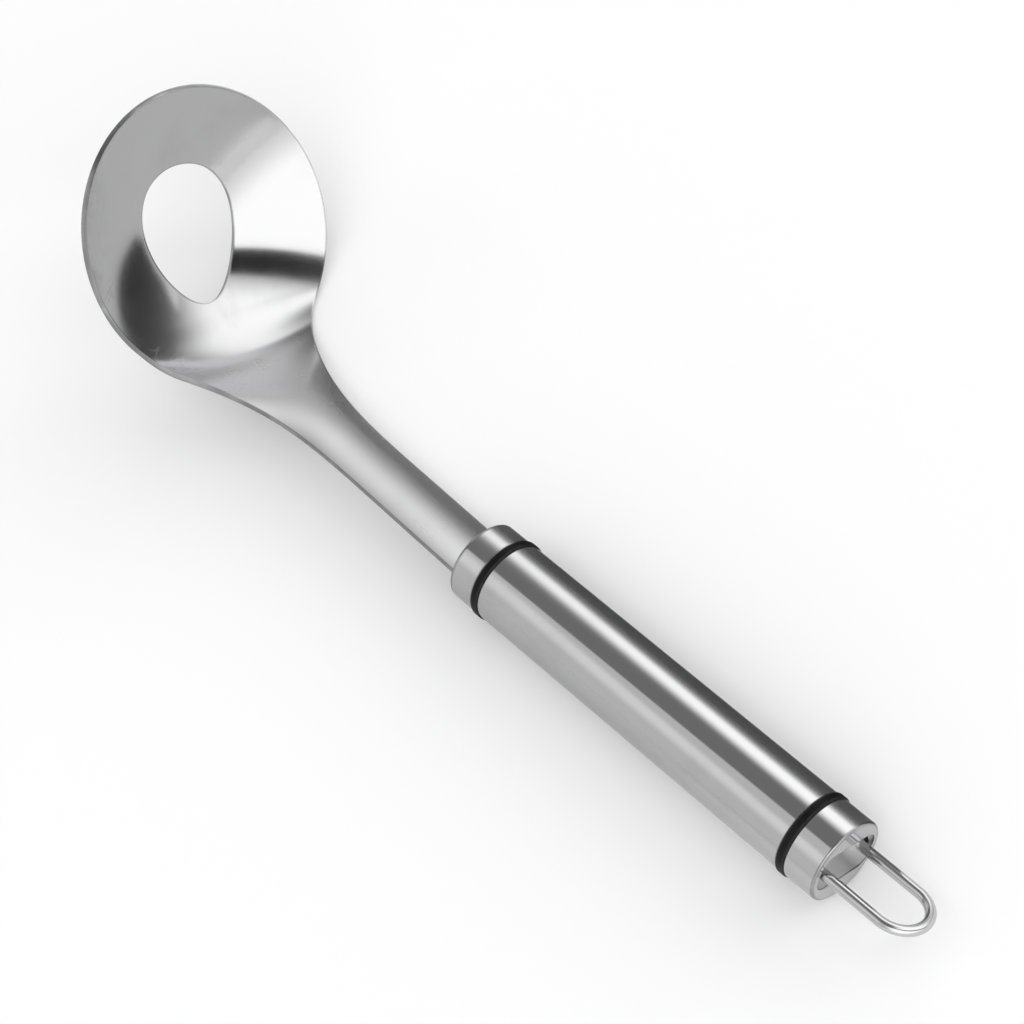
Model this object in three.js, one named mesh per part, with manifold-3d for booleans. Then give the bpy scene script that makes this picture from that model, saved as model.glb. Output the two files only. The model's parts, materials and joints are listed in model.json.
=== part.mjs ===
import * as THREE from "three";
import { ParametricGeometry } from "three/addons/geometries/ParametricGeometry.js";
import { mergeVertices } from "three/addons/utils/BufferGeometryUtils.js";
import Module from "manifold-3d";

// Lengths are in millimetres and angles in degrees.
// The tool is built with the handle axis along X, front face of the ferrule at x = 0,
// bowl towards -X and open side of the bowl up. Then it is rolled over to lie on a table.

// Gap left between pieces that slide, turn or are slotted into each other
const FIT = 0.3;

// Spoon: plan outline, measured along the sheet from the front face of the ferrule
const SHEET = 1.2;
const STEM_WIDTH = 14.8;
const FLARE_START = 28.9;
const FLARE_PULL = 22.5;
const NECK_END = 87.8;
const NECK_PULL = 21.2;
const BOWL_RADIUS = 32;
const BOWL_CENTRE = 107.9;

// Spoon: side view and cross-sections
const STEM_DROP = 0.4;
const STEM_ANGLE = 2.3;
const STEM_CROWN = 1.2;
const BEND_START = 77.3;
const BEND_LENGTH = 12;
const BOWL_ANGLE = 59.5;
const BOWL_DEPTH = 9.1;
const DISH_START = 45;
const DISH_END = 80;

// Egg-shaped hole in the bowl, its half width growing by the taper towards the tip
const HOLE_LENGTH = 31.5;
const HOLE_WIDTH = 23.8;
const HOLE_TAPER = 2.7;
const HOLE_SHIFT = -0.2;

// Handle
const HANDLE_DIAMETER = 18;
const FERRULE_LENGTH = 6.7;
const FERRULE_FRONT_WALL = 2;
const FERRULE_SIDE_WALL = 1.2;
const FERRULE_ROUND = 0.8;
const RING_WIDTH = 2;
const RING_PROUD = 0.3;
const RING_ROUND = 0.4;
const TUBE_LENGTH = 83;
const TUBE_WALL = 0.6;
const CAP_LENGTH = 7.2;
const CAP_CHAMFER = 0.5;
const CAP_RIM = 1.5;
const RECESS_WIDTH = 8.6;
const RECESS_ROUND = 3;
const RECESS_DEPTH = 4.4;

// Inside the handle
const TANG_END = 20;
const SHOULDER_START = 0.5;
const SHOULDER_END = 1.7;
const FORK_SIDE_WALL = 1.2;
const FORK_SET_BACK = 4.5;
const FORK_FLOOR = 2.2;
const RIVET_DIAMETER = 2.4;
const RIVET_SUNK = 0.2;
const RIVET_INSET = 3.5;
const RIVET_PITCH = 7;
const ROD_DIAMETER = 5;
const ROD_HOLD = 7;
const SPIGOT_LENGTH = 9;
const FRONT_BUSH_WALL = 1.8;
const FRONT_BUSH_DEPTH = 14;
const REAR_BUSH_WALL = 2.8;
const REAR_BUSH_DEPTH = 12;

// Hanging loop
const WIRE_DIAMETER = 2.2;
const LOOP_OUT = 20;
const LOOP_SIDE_GAP = 0.5;
const LOOP_PIVOT_DEPTH = 2.2;
const LOOP_PIVOT_BEND = 1.3;
const LOOP_PIVOT_HOLD = 0.8;

// Search for the roll at which the tool lies on a table
const ROLL_LIMIT_ANGLE = 60;
const ROLL_SEARCH_STEPS = 40;

// How finely curved surfaces are divided
const TURN_SEGMENTS = 56;
const ROUND_STEPS = 4;
const STEM_STEPS = 6;
const NECK_STEPS = 18;
const BOWL_STEPS = 26;
const SHEET_STEPS = 20;
const HOLE_STEPS = 72;
const WIRE_STEPS = 64;
const WIRE_SIDES = 6;
const SIDE_VIEW_STEP = 0.05;
const PIN_SEGMENTS = 24;
const MERGE_DISTANCE = 1e-4;

// Sizes that follow from the ones above
const HANDLE_RADIUS = HANDLE_DIAMETER / 2;
const RING_RADIUS = HANDLE_RADIUS + RING_PROUD;
const TUBE_BORE_RADIUS = HANDLE_RADIUS - TUBE_WALL;
const FERRULE_BORE_RADIUS = HANDLE_RADIUS - FERRULE_SIDE_WALL;
const RECESS_HALF_LENGTH = HANDLE_RADIUS - CAP_RIM;
const BUSH_RADIUS = TUBE_BORE_RADIUS - FIT;
const FORK_RADIUS = BUSH_RADIUS - FRONT_BUSH_WALL - FIT;
const TANG_WIDTH = 2 * (FORK_RADIUS - FORK_SIDE_WALL - FIT);
const ROD_RADIUS = ROD_DIAMETER / 2;
const SPIGOT_RADIUS = BUSH_RADIUS - REAR_BUSH_WALL - FIT;
const WIRE_RADIUS = WIRE_DIAMETER / 2;
const RIVET_RADIUS = RIVET_DIAMETER / 2;
const FRONT_RING_X = FERRULE_LENGTH;
const TUBE_X = FRONT_RING_X + RING_WIDTH;
const REAR_RING_X = TUBE_X + TUBE_LENGTH;
const CAP_X = REAR_RING_X + RING_WIDTH;
const HANDLE_END = CAP_X + CAP_LENGTH;
const SPIGOT_X = CAP_X - SPIGOT_LENGTH;
const PIVOT_X = HANDLE_END - LOOP_PIVOT_DEPTH;
const LOOP_HALF_GAP = RECESS_HALF_LENGTH - WIRE_RADIUS - LOOP_SIDE_GAP;
const LOOP_PIVOT_END = RECESS_HALF_LENGTH + LOOP_PIVOT_HOLD;
const FORK_START = FERRULE_FRONT_WALL + FORK_SET_BACK;
const FORK_POCKET_END = TANG_END + FIT;
const FORK_END = FORK_POCKET_END + FORK_FLOOR;
const RIVET_LENGTH = 2 * (FORK_RADIUS - RIVET_SUNK);

const { clamp, degToRad, lerp, smoothstep } = THREE.MathUtils;
const wasm = await Module();
wasm.setup();

// Closed solid of a geometry, for cutting and joining
function solid(geometry) {
  const bare = geometry.clone();
  bare.deleteAttribute("normal");
  bare.deleteAttribute("uv");
  const merged = mergeVertices(bare, MERGE_DISTANCE);
  const shell = new wasm.Mesh({
    numProp: 3,
    vertProperties: merged.attributes.position.array,
    triVerts: new Uint32Array(merged.index.array),
  });
  return new wasm.Manifold(shell);
}

// Geometry of a closed solid
function geometryOf(body) {
  const shell = body.getMesh();
  const geometry = new THREE.BufferGeometry();
  geometry.setAttribute("position", new THREE.BufferAttribute(shell.vertProperties, 3));
  geometry.setIndex(new THREE.BufferAttribute(shell.triVerts, 1));
  return geometry;
}

// Turned piece about X: its profile is a list of [x, radius], outer side towards +X
function turned(profile) {
  const points = profile.map(([x, radius]) => new THREE.Vector2(radius, x));
  return new THREE.LatheGeometry(points, TURN_SEGMENTS).rotateZ(-Math.PI / 2);
}

// Quarter round of a profile's outer corner, from one angle to another about [x, radius]
function corner(x, radius, size, from, to) {
  const points = [];
  for (let i = 0; i <= ROUND_STEPS; i++) {
    const angle = degToRad(lerp(from, to, i / ROUND_STEPS));
    points.push([x + size * Math.sin(angle), radius + size * Math.cos(angle)]);
  }
  return points;
}

// Round pin of a given length, standing along Y
function pin(radius, length) {
  return new THREE.CylinderGeometry(radius, radius, length, PIN_SEGMENTS);
}

// Slope of the sheet's edge in side view: level in the handle, then the stem's rise,
// then a smooth step up to the bowl's pitch
function slopeAt(along) {
  if (along < 0) return 0;
  const share = smoothstep(along, BEND_START, BEND_START + BEND_LENGTH);
  return degToRad(lerp(STEM_ANGLE, BOWL_ANGLE, share));
}

// Side view of the sheet's edge at a distance along it: its place, found by stepping along
// the slope, and its upward normal
function edgeAt(along) {
  const steps = Math.max(Math.ceil(Math.abs(along) / SIDE_VIEW_STEP), 1);
  const step = along / steps;
  const place = new THREE.Vector3(0, 0, -STEM_DROP);
  for (let i = 0; i < steps; i++) {
    const slope = slopeAt((i + 0.5) * step);
    place.x -= step * Math.cos(slope);
    place.z += step * Math.sin(slope);
  }
  const slope = slopeAt(along);
  const normal = new THREE.Vector3(Math.sin(slope), 0, Math.cos(slope));
  return { place, normal };
}

// Bend of the sheet across its width: crowned along the stem, dished in the bowl, flat in the tang
function crossBend(along) {
  const crown = STEM_CROWN / (STEM_WIDTH / 2) ** 2;
  const dish = -BOWL_DEPTH / BOWL_RADIUS ** 2;
  const fade = clamp(1 + along / SHOULDER_END, 0, 1);
  return fade * lerp(crown, dish, smoothstep(along, DISH_START, DISH_END));
}

// Half of the plan outline, from the end of the tang to the tip of the bowl
function outlinePoints() {
  const join = NECK_END - BOWL_CENTRE;
  const joinWidth = Math.sqrt(BOWL_RADIUS ** 2 - join ** 2);
  const joinSlope = -join / joinWidth;
  const half = STEM_WIDTH / 2;
  const outline = new THREE.Path();
  outline.moveTo(-TANG_END, TANG_WIDTH / 2);
  outline.lineTo(-SHOULDER_END, TANG_WIDTH / 2);
  outline.lineTo(-SHOULDER_START, half);
  outline.lineTo(0, half);
  outline.lineTo(FLARE_START, half);
  outline.bezierCurveTo(
    FLARE_START + FLARE_PULL, half,
    NECK_END - NECK_PULL, joinWidth - joinSlope * NECK_PULL,
    NECK_END, joinWidth,
  );
  outline.absarc(BOWL_CENTRE, 0, BOWL_RADIUS, Math.atan2(joinWidth, join), 0, true);
  const steps = [1, 1, 1, STEM_STEPS, NECK_STEPS, BOWL_STEPS];
  const curves = outline.curves.filter((curve) => curve.getLength() > MERGE_DISTANCE);
  const points = [curves[0].getPoint(0)];
  curves.forEach((curve, i) => points.push(...curve.getPoints(steps[i]).slice(1)));
  return points;
}

// Sheet of the spoon as a closed surface: stations along it, and round each station
// over the top and back underneath. "grow" widens and thickens it for cutting a slot.
function sheetGeometry(points, grow) {
  const stations = points.map((point) => ({
    ...edgeAt(point.x),
    half: Math.max(point.y, 0),
    bend: crossBend(point.x),
  }));
  const middle = (i, across) => {
    const { place, normal, half, bend } = stations[i];
    const middlePoint = place.clone().addScaledVector(normal, bend * (half ** 2 - across ** 2));
    return middlePoint.setY(across);
  };
  const last = stations.length - 1;
  const upward = (i, across) => {
    const { normal, bend } = stations[i];
    const along = middle(Math.min(i + 1, last), across).sub(middle(Math.max(i - 1, 0), across));
    const over = normal.clone().multiplyScalar(-2 * bend * across).setY(1);
    return over.cross(along).normalize();
  };
  const open = stations[last].half + grow > SHEET / 2;
  const rows = [{ station: 0, side: 0 }];
  stations.forEach((_, station) => rows.push({ station, side: 1 }));
  if (open) rows.push({ station: last, side: 0 });
  const around = 2 * SHEET_STEPS + 2;
  return new ParametricGeometry((u, v, target) => {
    const row = rows[Math.round(v * (rows.length - 1))];
    const step = Math.round(u * around) % around;
    const top = step <= SHEET_STEPS;
    const share = top ? step / SHEET_STEPS : (around - 1 - step) / SHEET_STEPS;
    const across = lerp(-1, 1, share) * (stations[row.station].half + grow);
    const offset = row.side * (top ? 1 : -1) * (SHEET / 2 + grow);
    target.copy(middle(row.station, across));
    target.addScaledVector(upward(row.station, across), offset);
  }, around, rows.length - 1);
}

// Outline of the hole, X towards the handle
function holeShape() {
  const points = [];
  for (let i = 0; i < HOLE_STEPS; i++) {
    const angle = (2 * Math.PI * i) / HOLE_STEPS;
    const half = HOLE_WIDTH / 2 - HOLE_TAPER * Math.cos(angle);
    points.push(new THREE.Vector2((HOLE_LENGTH / 2) * Math.cos(angle), half * Math.sin(angle)));
  }
  return new THREE.Shape(points);
}

// Cutter for the hole, standing along the normal of the bowl's rim
function holeCutter() {
  const depth = 4 * BOWL_DEPTH;
  const options = { depth, bevelEnabled: false };
  const cutter = new THREE.ExtrudeGeometry(holeShape(), options).translate(0, 0, -depth / 2);
  const { place, normal } = edgeAt(BOWL_CENTRE + HOLE_SHIFT);
  const across = new THREE.Vector3(0, 1, 0);
  const frame = new THREE.Matrix4().makeBasis(across.clone().cross(normal), across, normal);
  return cutter.applyMatrix4(frame.setPosition(place));
}

// Places along the handle of the two rivets through the tang
function rivetPlaces() {
  const first = FORK_START + RIVET_INSET;
  return [first, first + RIVET_PITCH];
}

// Upright hole for a rivet through the tang and the fork
function rivetHole(x) {
  const hole = pin(RIVET_RADIUS + FIT, 2 * HANDLE_DIAMETER).rotateX(Math.PI / 2);
  return solid(hole.translate(x, 0, 0));
}

function spoonGeometry() {
  let body = solid(sheetGeometry(outlinePoints(), 0)).subtract(solid(holeCutter()));
  for (const x of rivetPlaces()) body = body.subtract(rivetHole(x));
  return geometryOf(body);
}

function ferruleGeometry() {
  const collar = turned([
    [0, 0],
    ...corner(FERRULE_ROUND, HANDLE_RADIUS - FERRULE_ROUND, FERRULE_ROUND, -90, 0),
    [FERRULE_LENGTH, HANDLE_RADIUS],
    [FERRULE_LENGTH, FERRULE_BORE_RADIUS],
    [FERRULE_FRONT_WALL, FERRULE_BORE_RADIUS],
    [FERRULE_FRONT_WALL, 0],
  ]);
  const stem = outlinePoints().filter((point) => point.x <= FLARE_START);
  return geometryOf(solid(collar).subtract(solid(sheetGeometry(stem, FIT))));
}

// Profile of a black ring's outer side, from its front face to its rear face
function ringProfile(x) {
  const middle = RING_RADIUS - RING_ROUND;
  return [
    ...corner(x + RING_ROUND, middle, RING_ROUND, -90, 0),
    ...corner(x + RING_WIDTH - RING_ROUND, middle, RING_ROUND, 0, 90),
  ];
}

function frontBushGeometry() {
  const nose = FERRULE_FRONT_WALL + FIT;
  const bore = FORK_RADIUS + FIT;
  return turned([
    [nose, bore],
    [nose, FERRULE_BORE_RADIUS - FIT],
    [FRONT_RING_X, FERRULE_BORE_RADIUS - FIT],
    ...ringProfile(FRONT_RING_X),
    [TUBE_X, BUSH_RADIUS],
    [TUBE_X + FRONT_BUSH_DEPTH, BUSH_RADIUS],
    [TUBE_X + FRONT_BUSH_DEPTH, bore],
    [nose, bore],
  ]);
}

function tubeGeometry() {
  return turned([
    [TUBE_X, TUBE_BORE_RADIUS],
    [TUBE_X, HANDLE_RADIUS],
    [REAR_RING_X, HANDLE_RADIUS],
    [REAR_RING_X, TUBE_BORE_RADIUS],
    [TUBE_X, TUBE_BORE_RADIUS],
  ]);
}

function rearBushGeometry() {
  const bore = SPIGOT_RADIUS + FIT;
  return turned([
    [REAR_RING_X - REAR_BUSH_DEPTH, bore],
    [REAR_RING_X - REAR_BUSH_DEPTH, BUSH_RADIUS],
    [REAR_RING_X, BUSH_RADIUS],
    ...ringProfile(REAR_RING_X),
    [CAP_X, bore],
    [REAR_RING_X - REAR_BUSH_DEPTH, bore],
  ]);
}

function tieRodGeometry() {
  const body = turned([
    [FORK_START, 0],
    [FORK_START, FORK_RADIUS],
    [FORK_END, FORK_RADIUS],
    [FORK_END, ROD_RADIUS],
    [SPIGOT_X + ROD_HOLD, ROD_RADIUS],
    [SPIGOT_X + ROD_HOLD, 0],
  ]);
  const depth = FORK_POCKET_END - FORK_START;
  const pocket = new THREE.BoxGeometry(2 * depth, TANG_WIDTH + 2 * FIT, SHEET + 2 * FIT);
  let rod = solid(body).subtract(solid(pocket.translate(FORK_START, 0, -STEM_DROP)));
  for (const x of rivetPlaces()) rod = rod.subtract(rivetHole(x));
  return geometryOf(rod);
}

function rivetGeometry() {
  return pin(RIVET_RADIUS, RIVET_LENGTH).rotateX(Math.PI / 2);
}

// Cutter for the oblong recess in the end of the cap, long way across the handle
function recessCutter() {
  const round = Math.min(RECESS_ROUND, RECESS_WIDTH / 2);
  const y = RECESS_HALF_LENGTH - round;
  const z = RECESS_WIDTH / 2 - round;
  const outline = new THREE.Shape();
  outline.absarc(y, z, round, 0, Math.PI / 2, false);
  outline.absarc(-y, z, round, Math.PI / 2, Math.PI, false);
  outline.absarc(-y, -z, round, Math.PI, 1.5 * Math.PI, false);
  outline.absarc(y, -z, round, 1.5 * Math.PI, 2 * Math.PI, false);
  const options = { depth: 2 * RECESS_DEPTH, bevelEnabled: false, curveSegments: ROUND_STEPS };
  const cutter = new THREE.ExtrudeGeometry(outline, options);
  const axes = [new THREE.Vector3(0, 1, 0), new THREE.Vector3(0, 0, 1), new THREE.Vector3(1, 0, 0)];
  const frame = new THREE.Matrix4().makeBasis(...axes);
  return cutter.applyMatrix4(frame.setPosition(HANDLE_END - RECESS_DEPTH, 0, 0));
}

function capGeometry() {
  const body = turned([
    [SPIGOT_X + ROD_HOLD + FIT, 0],
    [SPIGOT_X + ROD_HOLD + FIT, ROD_RADIUS + FIT],
    [SPIGOT_X, ROD_RADIUS + FIT],
    [SPIGOT_X, SPIGOT_RADIUS],
    [CAP_X, SPIGOT_RADIUS],
    [CAP_X, HANDLE_RADIUS],
    [HANDLE_END - CAP_CHAMFER, HANDLE_RADIUS],
    [HANDLE_END, HANDLE_RADIUS - CAP_CHAMFER],
    [HANDLE_END, 0],
  ]);
  const sockets = pin(WIRE_RADIUS + FIT, 2 * (LOOP_PIVOT_END + FIT)).translate(PIVOT_X, 0, 0);
  return geometryOf(solid(body).subtract(solid(recessCutter())).subtract(solid(sockets)));
}

// Middle line of the hanging loop, from one pivot end round to the other
class LoopLine extends THREE.Curve {
  constructor() {
    super();
    const turnX = PIVOT_X + LOOP_PIVOT_BEND;
    const turnY = LOOP_HALF_GAP + LOOP_PIVOT_BEND;
    const archX = HANDLE_END + LOOP_OUT - WIRE_RADIUS - LOOP_HALF_GAP;
    this.line = new THREE.Path();
    this.line.moveTo(PIVOT_X, -LOOP_PIVOT_END);
    this.line.lineTo(PIVOT_X, -turnY);
    this.line.absarc(turnX, -turnY, LOOP_PIVOT_BEND, Math.PI, Math.PI / 2, true);
    this.line.lineTo(archX, -LOOP_HALF_GAP);
    this.line.absarc(archX, 0, LOOP_HALF_GAP, -Math.PI / 2, Math.PI / 2, false);
    this.line.lineTo(turnX, LOOP_HALF_GAP);
    this.line.absarc(turnX, turnY, LOOP_PIVOT_BEND, -Math.PI / 2, -Math.PI, true);
    this.line.lineTo(PIVOT_X, LOOP_PIVOT_END);
  }

  getPoint(t, target = new THREE.Vector3()) {
    const point = this.line.getPoint(t);
    return target.set(point.x - PIVOT_X, point.y, 0);
  }
}

// The loop's own origin is its pivot
function loopGeometry() {
  const wire = new THREE.Shape();
  wire.absarc(0, 0, WIRE_RADIUS, 0, 2 * Math.PI, false);
  return new THREE.ExtrudeGeometry(wire, {
    steps: WIRE_STEPS,
    curveSegments: WIRE_SIDES,
    extrudePath: new LoopLine(),
  });
}

// Height of a geometry's lowest point below the handle axis, with the tool rolled over
function dropOf(geometry, roll) {
  const { array } = geometry.attributes.position;
  let drop = 0;
  for (let i = 0; i < array.length; i += 3) {
    drop = Math.max(drop, array[i + 1] * Math.sin(roll) - array[i + 2] * Math.cos(roll));
  }
  return drop;
}

// Roll at which the spoon's edge and the black rings lie on the same table
function restingRoll(spoon) {
  let low = 0;
  let high = degToRad(ROLL_LIMIT_ANGLE);
  for (let i = 0; i < ROLL_SEARCH_STEPS; i++) {
    const roll = (low + high) / 2;
    if (dropOf(spoon, roll) < RING_RADIUS) low = roll;
    else high = roll;
  }
  return low;
}

const steel = new THREE.MeshStandardMaterial({ color: 0xc8cacc, roughness: 0.18, metalness: 1 });
const zinc = new THREE.MeshStandardMaterial({ color: 0xa9acb0, roughness: 0.45, metalness: 1 });
const plastic = new THREE.MeshStandardMaterial({ color: 0x141414, roughness: 0.5, metalness: 0 });

function piece(name, geometry, material) {
  const mesh = new THREE.Mesh(geometry, material);
  mesh.name = name;
  return mesh;
}

const spoon = piece("spoon", spoonGeometry(), steel);
const loop = piece("hanging_loop", loopGeometry(), steel);
loop.position.x = PIVOT_X;

const tool = new THREE.Group();
tool.add(
  spoon,
  piece("front_ferrule", ferruleGeometry(), steel),
  piece("front_bush", frontBushGeometry(), plastic),
  piece("handle_tube", tubeGeometry(), steel),
  piece("rear_bush", rearBushGeometry(), plastic),
  piece("end_cap", capGeometry(), steel),
  piece("tie_rod", tieRodGeometry(), zinc),
  loop,
);
["tang_rivet_front", "tang_rivet_rear"].forEach((name, i) => {
  const rivet = piece(name, rivetGeometry(), zinc);
  rivet.position.x = rivetPlaces()[i];
  tool.add(rivet);
});

tool.rotation.x = -restingRoll(spoon.geometry);
const bounds = new THREE.Box3().setFromObject(tool, true);
const centre = bounds.getCenter(new THREE.Vector3());
tool.position.set(-centre.x, -centre.y, -bounds.min.z);

const part = new THREE.Group();
part.add(tool);

export default part;
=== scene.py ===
import json
import math

import bmesh
import bpy
import numpy as np
from mathutils import Matrix, Vector


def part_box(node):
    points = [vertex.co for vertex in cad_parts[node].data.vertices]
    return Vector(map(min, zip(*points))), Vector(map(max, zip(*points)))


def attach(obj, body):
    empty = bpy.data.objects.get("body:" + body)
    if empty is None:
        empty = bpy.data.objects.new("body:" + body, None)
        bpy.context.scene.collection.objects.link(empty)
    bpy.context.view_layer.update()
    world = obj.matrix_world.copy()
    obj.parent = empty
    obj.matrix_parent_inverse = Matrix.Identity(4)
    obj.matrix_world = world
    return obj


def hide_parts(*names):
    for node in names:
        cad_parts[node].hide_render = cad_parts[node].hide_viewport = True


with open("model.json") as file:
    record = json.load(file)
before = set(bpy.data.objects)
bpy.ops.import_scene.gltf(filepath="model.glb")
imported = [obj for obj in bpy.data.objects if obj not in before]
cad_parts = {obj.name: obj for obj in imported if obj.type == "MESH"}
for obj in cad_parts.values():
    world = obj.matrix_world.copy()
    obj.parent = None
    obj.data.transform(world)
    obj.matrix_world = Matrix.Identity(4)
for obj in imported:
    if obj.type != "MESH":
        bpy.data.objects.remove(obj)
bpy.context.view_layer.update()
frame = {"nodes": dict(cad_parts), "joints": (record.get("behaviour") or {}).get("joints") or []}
scene = bpy.context.scene

# Sizes are in millimetres and angles in degrees, in the tool's own frame: handle axis along X with
# the ferrule's front face at 0, bowl towards -X, open side of the bowl up.
MM = 0.001
FIT = 0.3
MERGE = 0.0001

# Spoon: plan outline, side view, cross-sections and the egg-shaped hole
SHEET, SHEET_ROUND = 1.2, 0.3
STEM_HALF, STEM_RISE, STEM_DROP, STEM_CROWN = 7.4, 2.3, 0.4, 1.2
FLARE_START, FLARE_PULL = 28.9, 22.5
NECK_END, NECK_PULL = 87.8, 21.2
BOWL_RADIUS, BOWL_CENTRE, BOWL_DEPTH, BOWL_PITCH = 32.0, 107.9, 9.1, 59.5
BEND_START, BEND_LENGTH = 77.3, 12.0
DISH_START, DISH_END = 45.0, 80.0
HOLE_HALF_LENGTH, HOLE_HALF_WIDTH, HOLE_TAPER, HOLE_SHIFT = 15.75, 11.9, 2.7, -0.2
TANG_HALF, TANG_END, SHOULDER_START, SHOULDER_END = 4.5, 20.0, 0.5, 1.7
SATIN_START, SATIN_END = 76.0, 100.0

# Handle: stations along its axis and radii
HANDLE_RADIUS, RING_RADIUS, RING_WIDTH, RING_ROUND = 9.0, 9.3, 2.0, 0.4
FERRULE_END, FERRULE_WALL, FERRULE_ROUND, FERRULE_BORE = 6.7, 2.0, 0.8, 7.8
TUBE_START = FERRULE_END + RING_WIDTH
TUBE_END, TUBE_BORE = TUBE_START + 83.0, 8.4
CAP_START = TUBE_END + RING_WIDTH
HANDLE_END, CAP_CHAMFER = CAP_START + 7.2, 0.5
RECESS_HALF_LENGTH, RECESS_HALF_WIDTH, RECESS_CORNER, RECESS_DEPTH = 7.5, 4.3, 3.0, 4.4
# Deeper in the recess than its rim the steel turns rougher and is painted paler, painted light that lifts the
# shade inside the recess.
RECESS_SATIN_AND_PALE, RECESS_RIM, RECESS_PALE_DEPTH = 3.0, 0.1, 0.3
BUSH_RADIUS, FRONT_BUSH_BORE, REAR_BUSH_BORE = TUBE_BORE - FIT, 6.3, 5.3
FRONT_BUSH_NOSE, FRONT_BUSH_END, REAR_BUSH_START = 7.5, TUBE_START + 14.0, TUBE_END - 12.0
SPIGOT_RADIUS, SPIGOT_START, ROD_HOLE, ROD_HOLE_END = 5.0, CAP_START - 9.0, 2.8, 92.0
SMALL_ROUND = 0.15

# Hanging loop
WIRE_RADIUS, LOOP_HALF_GAP, LOOP_OUT = 1.1, 5.9, 20.0
PIVOT_X, PIVOT_BEND, PIVOT_END = HANDLE_END - 2.2, 1.3, 8.3
SOCKET_RADIUS, SOCKET_END = WIRE_RADIUS + FIT, PIVOT_END + FIT

# The tool's frame in the row's frame: the swing axis of the loop is the tool's Y
swing = Vector(frame["joints"][0]["axis"])
along = Vector((1, 0, 0))
TURN = np.array([along, swing, along.cross(swing)]).T
low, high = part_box("handle_tube")
ORIGIN = np.array([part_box("front_ferrule")[0].x, (low.y + high.y) / 2, (low.z + high.z) / 2])


def to_row(points):
    """Tool frame in millimetres to the row's frame in metres: turned by the roll, then moved."""
    return np.asarray(points) @ TURN.T * MM + ORIGIN


def step(x, start, end):
    """Smooth step from 0 at start to 1 at end: 3t squared minus 2t cubed."""
    t = np.clip((x - start) / (end - start), 0, 1)
    return t * t * (3 - 2 * t)


def grid_faces(rows, columns, wrap_rows=False, wrap_columns=False, first=0):
    """Quads of a grid of points, each corner numbered row times columns plus column."""
    i, j = np.meshgrid(
        np.arange(rows if wrap_rows else rows - 1),
        np.arange(columns if wrap_columns else columns - 1),
        indexing="ij",
    )
    i2, j2 = (i + 1) % rows, (j + 1) % columns
    corners = np.stack([i * columns + j, i * columns + j2, i2 * columns + j2, i2 * columns + j], -1)
    return first + corners.reshape(-1, 4)


def make_piece(name, surface, body, material, replaced):
    """A mesh object from a surface of points, faces, lay, edge and finish value, riding on its body in place
    of its CAD node. Lay is the place of a point on the surface laid out along its polishing lines, in
    metres, edge is 1 at edges, which the finishes show rubbed and the steel paints darker as fine shadow
    lines, and the finish value grows with the dullness of the finish; past 1, in the cap's recess, it also
    paints the steel paler, painted light that lifts the shade there. Doubled points at seams and poles are
    merged."""
    points, faces, lay, edge, satin_and_pale = surface
    mesh = bpy.data.meshes.new(name)
    mesh.from_pydata(to_row(points).tolist(), [], faces.tolist())
    mesh.attributes.new("lay", "FLOAT_VECTOR", "POINT").data.foreach_set("vector", (lay * MM).ravel())
    for value, numbers in (("edge", edge), ("satin_and_pale", satin_and_pale)):
        mesh.attributes.new(value, "FLOAT", "POINT").data.foreach_set("value", numbers.astype(float))
    shell = bmesh.new()
    shell.from_mesh(mesh)
    bmesh.ops.remove_doubles(shell, verts=shell.verts, dist=MERGE * MM)
    bmesh.ops.recalc_face_normals(shell, faces=shell.faces)
    shell.to_mesh(mesh)
    shell.free()
    mesh.shade_smooth()
    mesh.materials.append(material)
    piece = bpy.data.objects.new(name, mesh)
    scene.collection.objects.link(piece)
    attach(piece, body)
    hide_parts(replaced)
    return piece


# Spoon sheet

def slope_at(s):
    """Slope of the sheet's edge in side view: level in the handle, then the stem's rise,
    then a smooth step up to the bowl's pitch."""
    bent = STEM_RISE + (BOWL_PITCH - STEM_RISE) * step(s, BEND_START, BEND_START + BEND_LENGTH)
    return np.radians(np.where(s < 0, 0, bent))


def side_view(samples=16001):
    """Side view of the sheet's edge: its slope summed along its length by the trapezium rule."""
    s = np.linspace(-TANG_END - 1, BOWL_CENTRE + BOWL_RADIUS + 1, samples)
    slope = slope_at(s)
    run = np.concatenate([[0], np.cumsum(np.cos(slope[1:]) + np.cos(slope[:-1])) / 2]) * (s[1] - s[0])
    rise = np.concatenate([[0], np.cumsum(np.sin(slope[1:]) + np.sin(slope[:-1])) / 2]) * (s[1] - s[0])
    return s, np.interp(0, s, run) - run, rise - np.interp(0, s, rise) - STEM_DROP, slope


SIDE_S, SIDE_X, SIDE_Z, SIDE_SLOPE = side_view()


def bezier(t, ends):
    """Cubic through four numbers: each weighted by its share of t and 1 - t."""
    u = 1 - t
    return u**3 * ends[0] + 3 * t * u**2 * ends[1] + 3 * t**2 * u * ends[2] + t**3 * ends[3]


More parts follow.
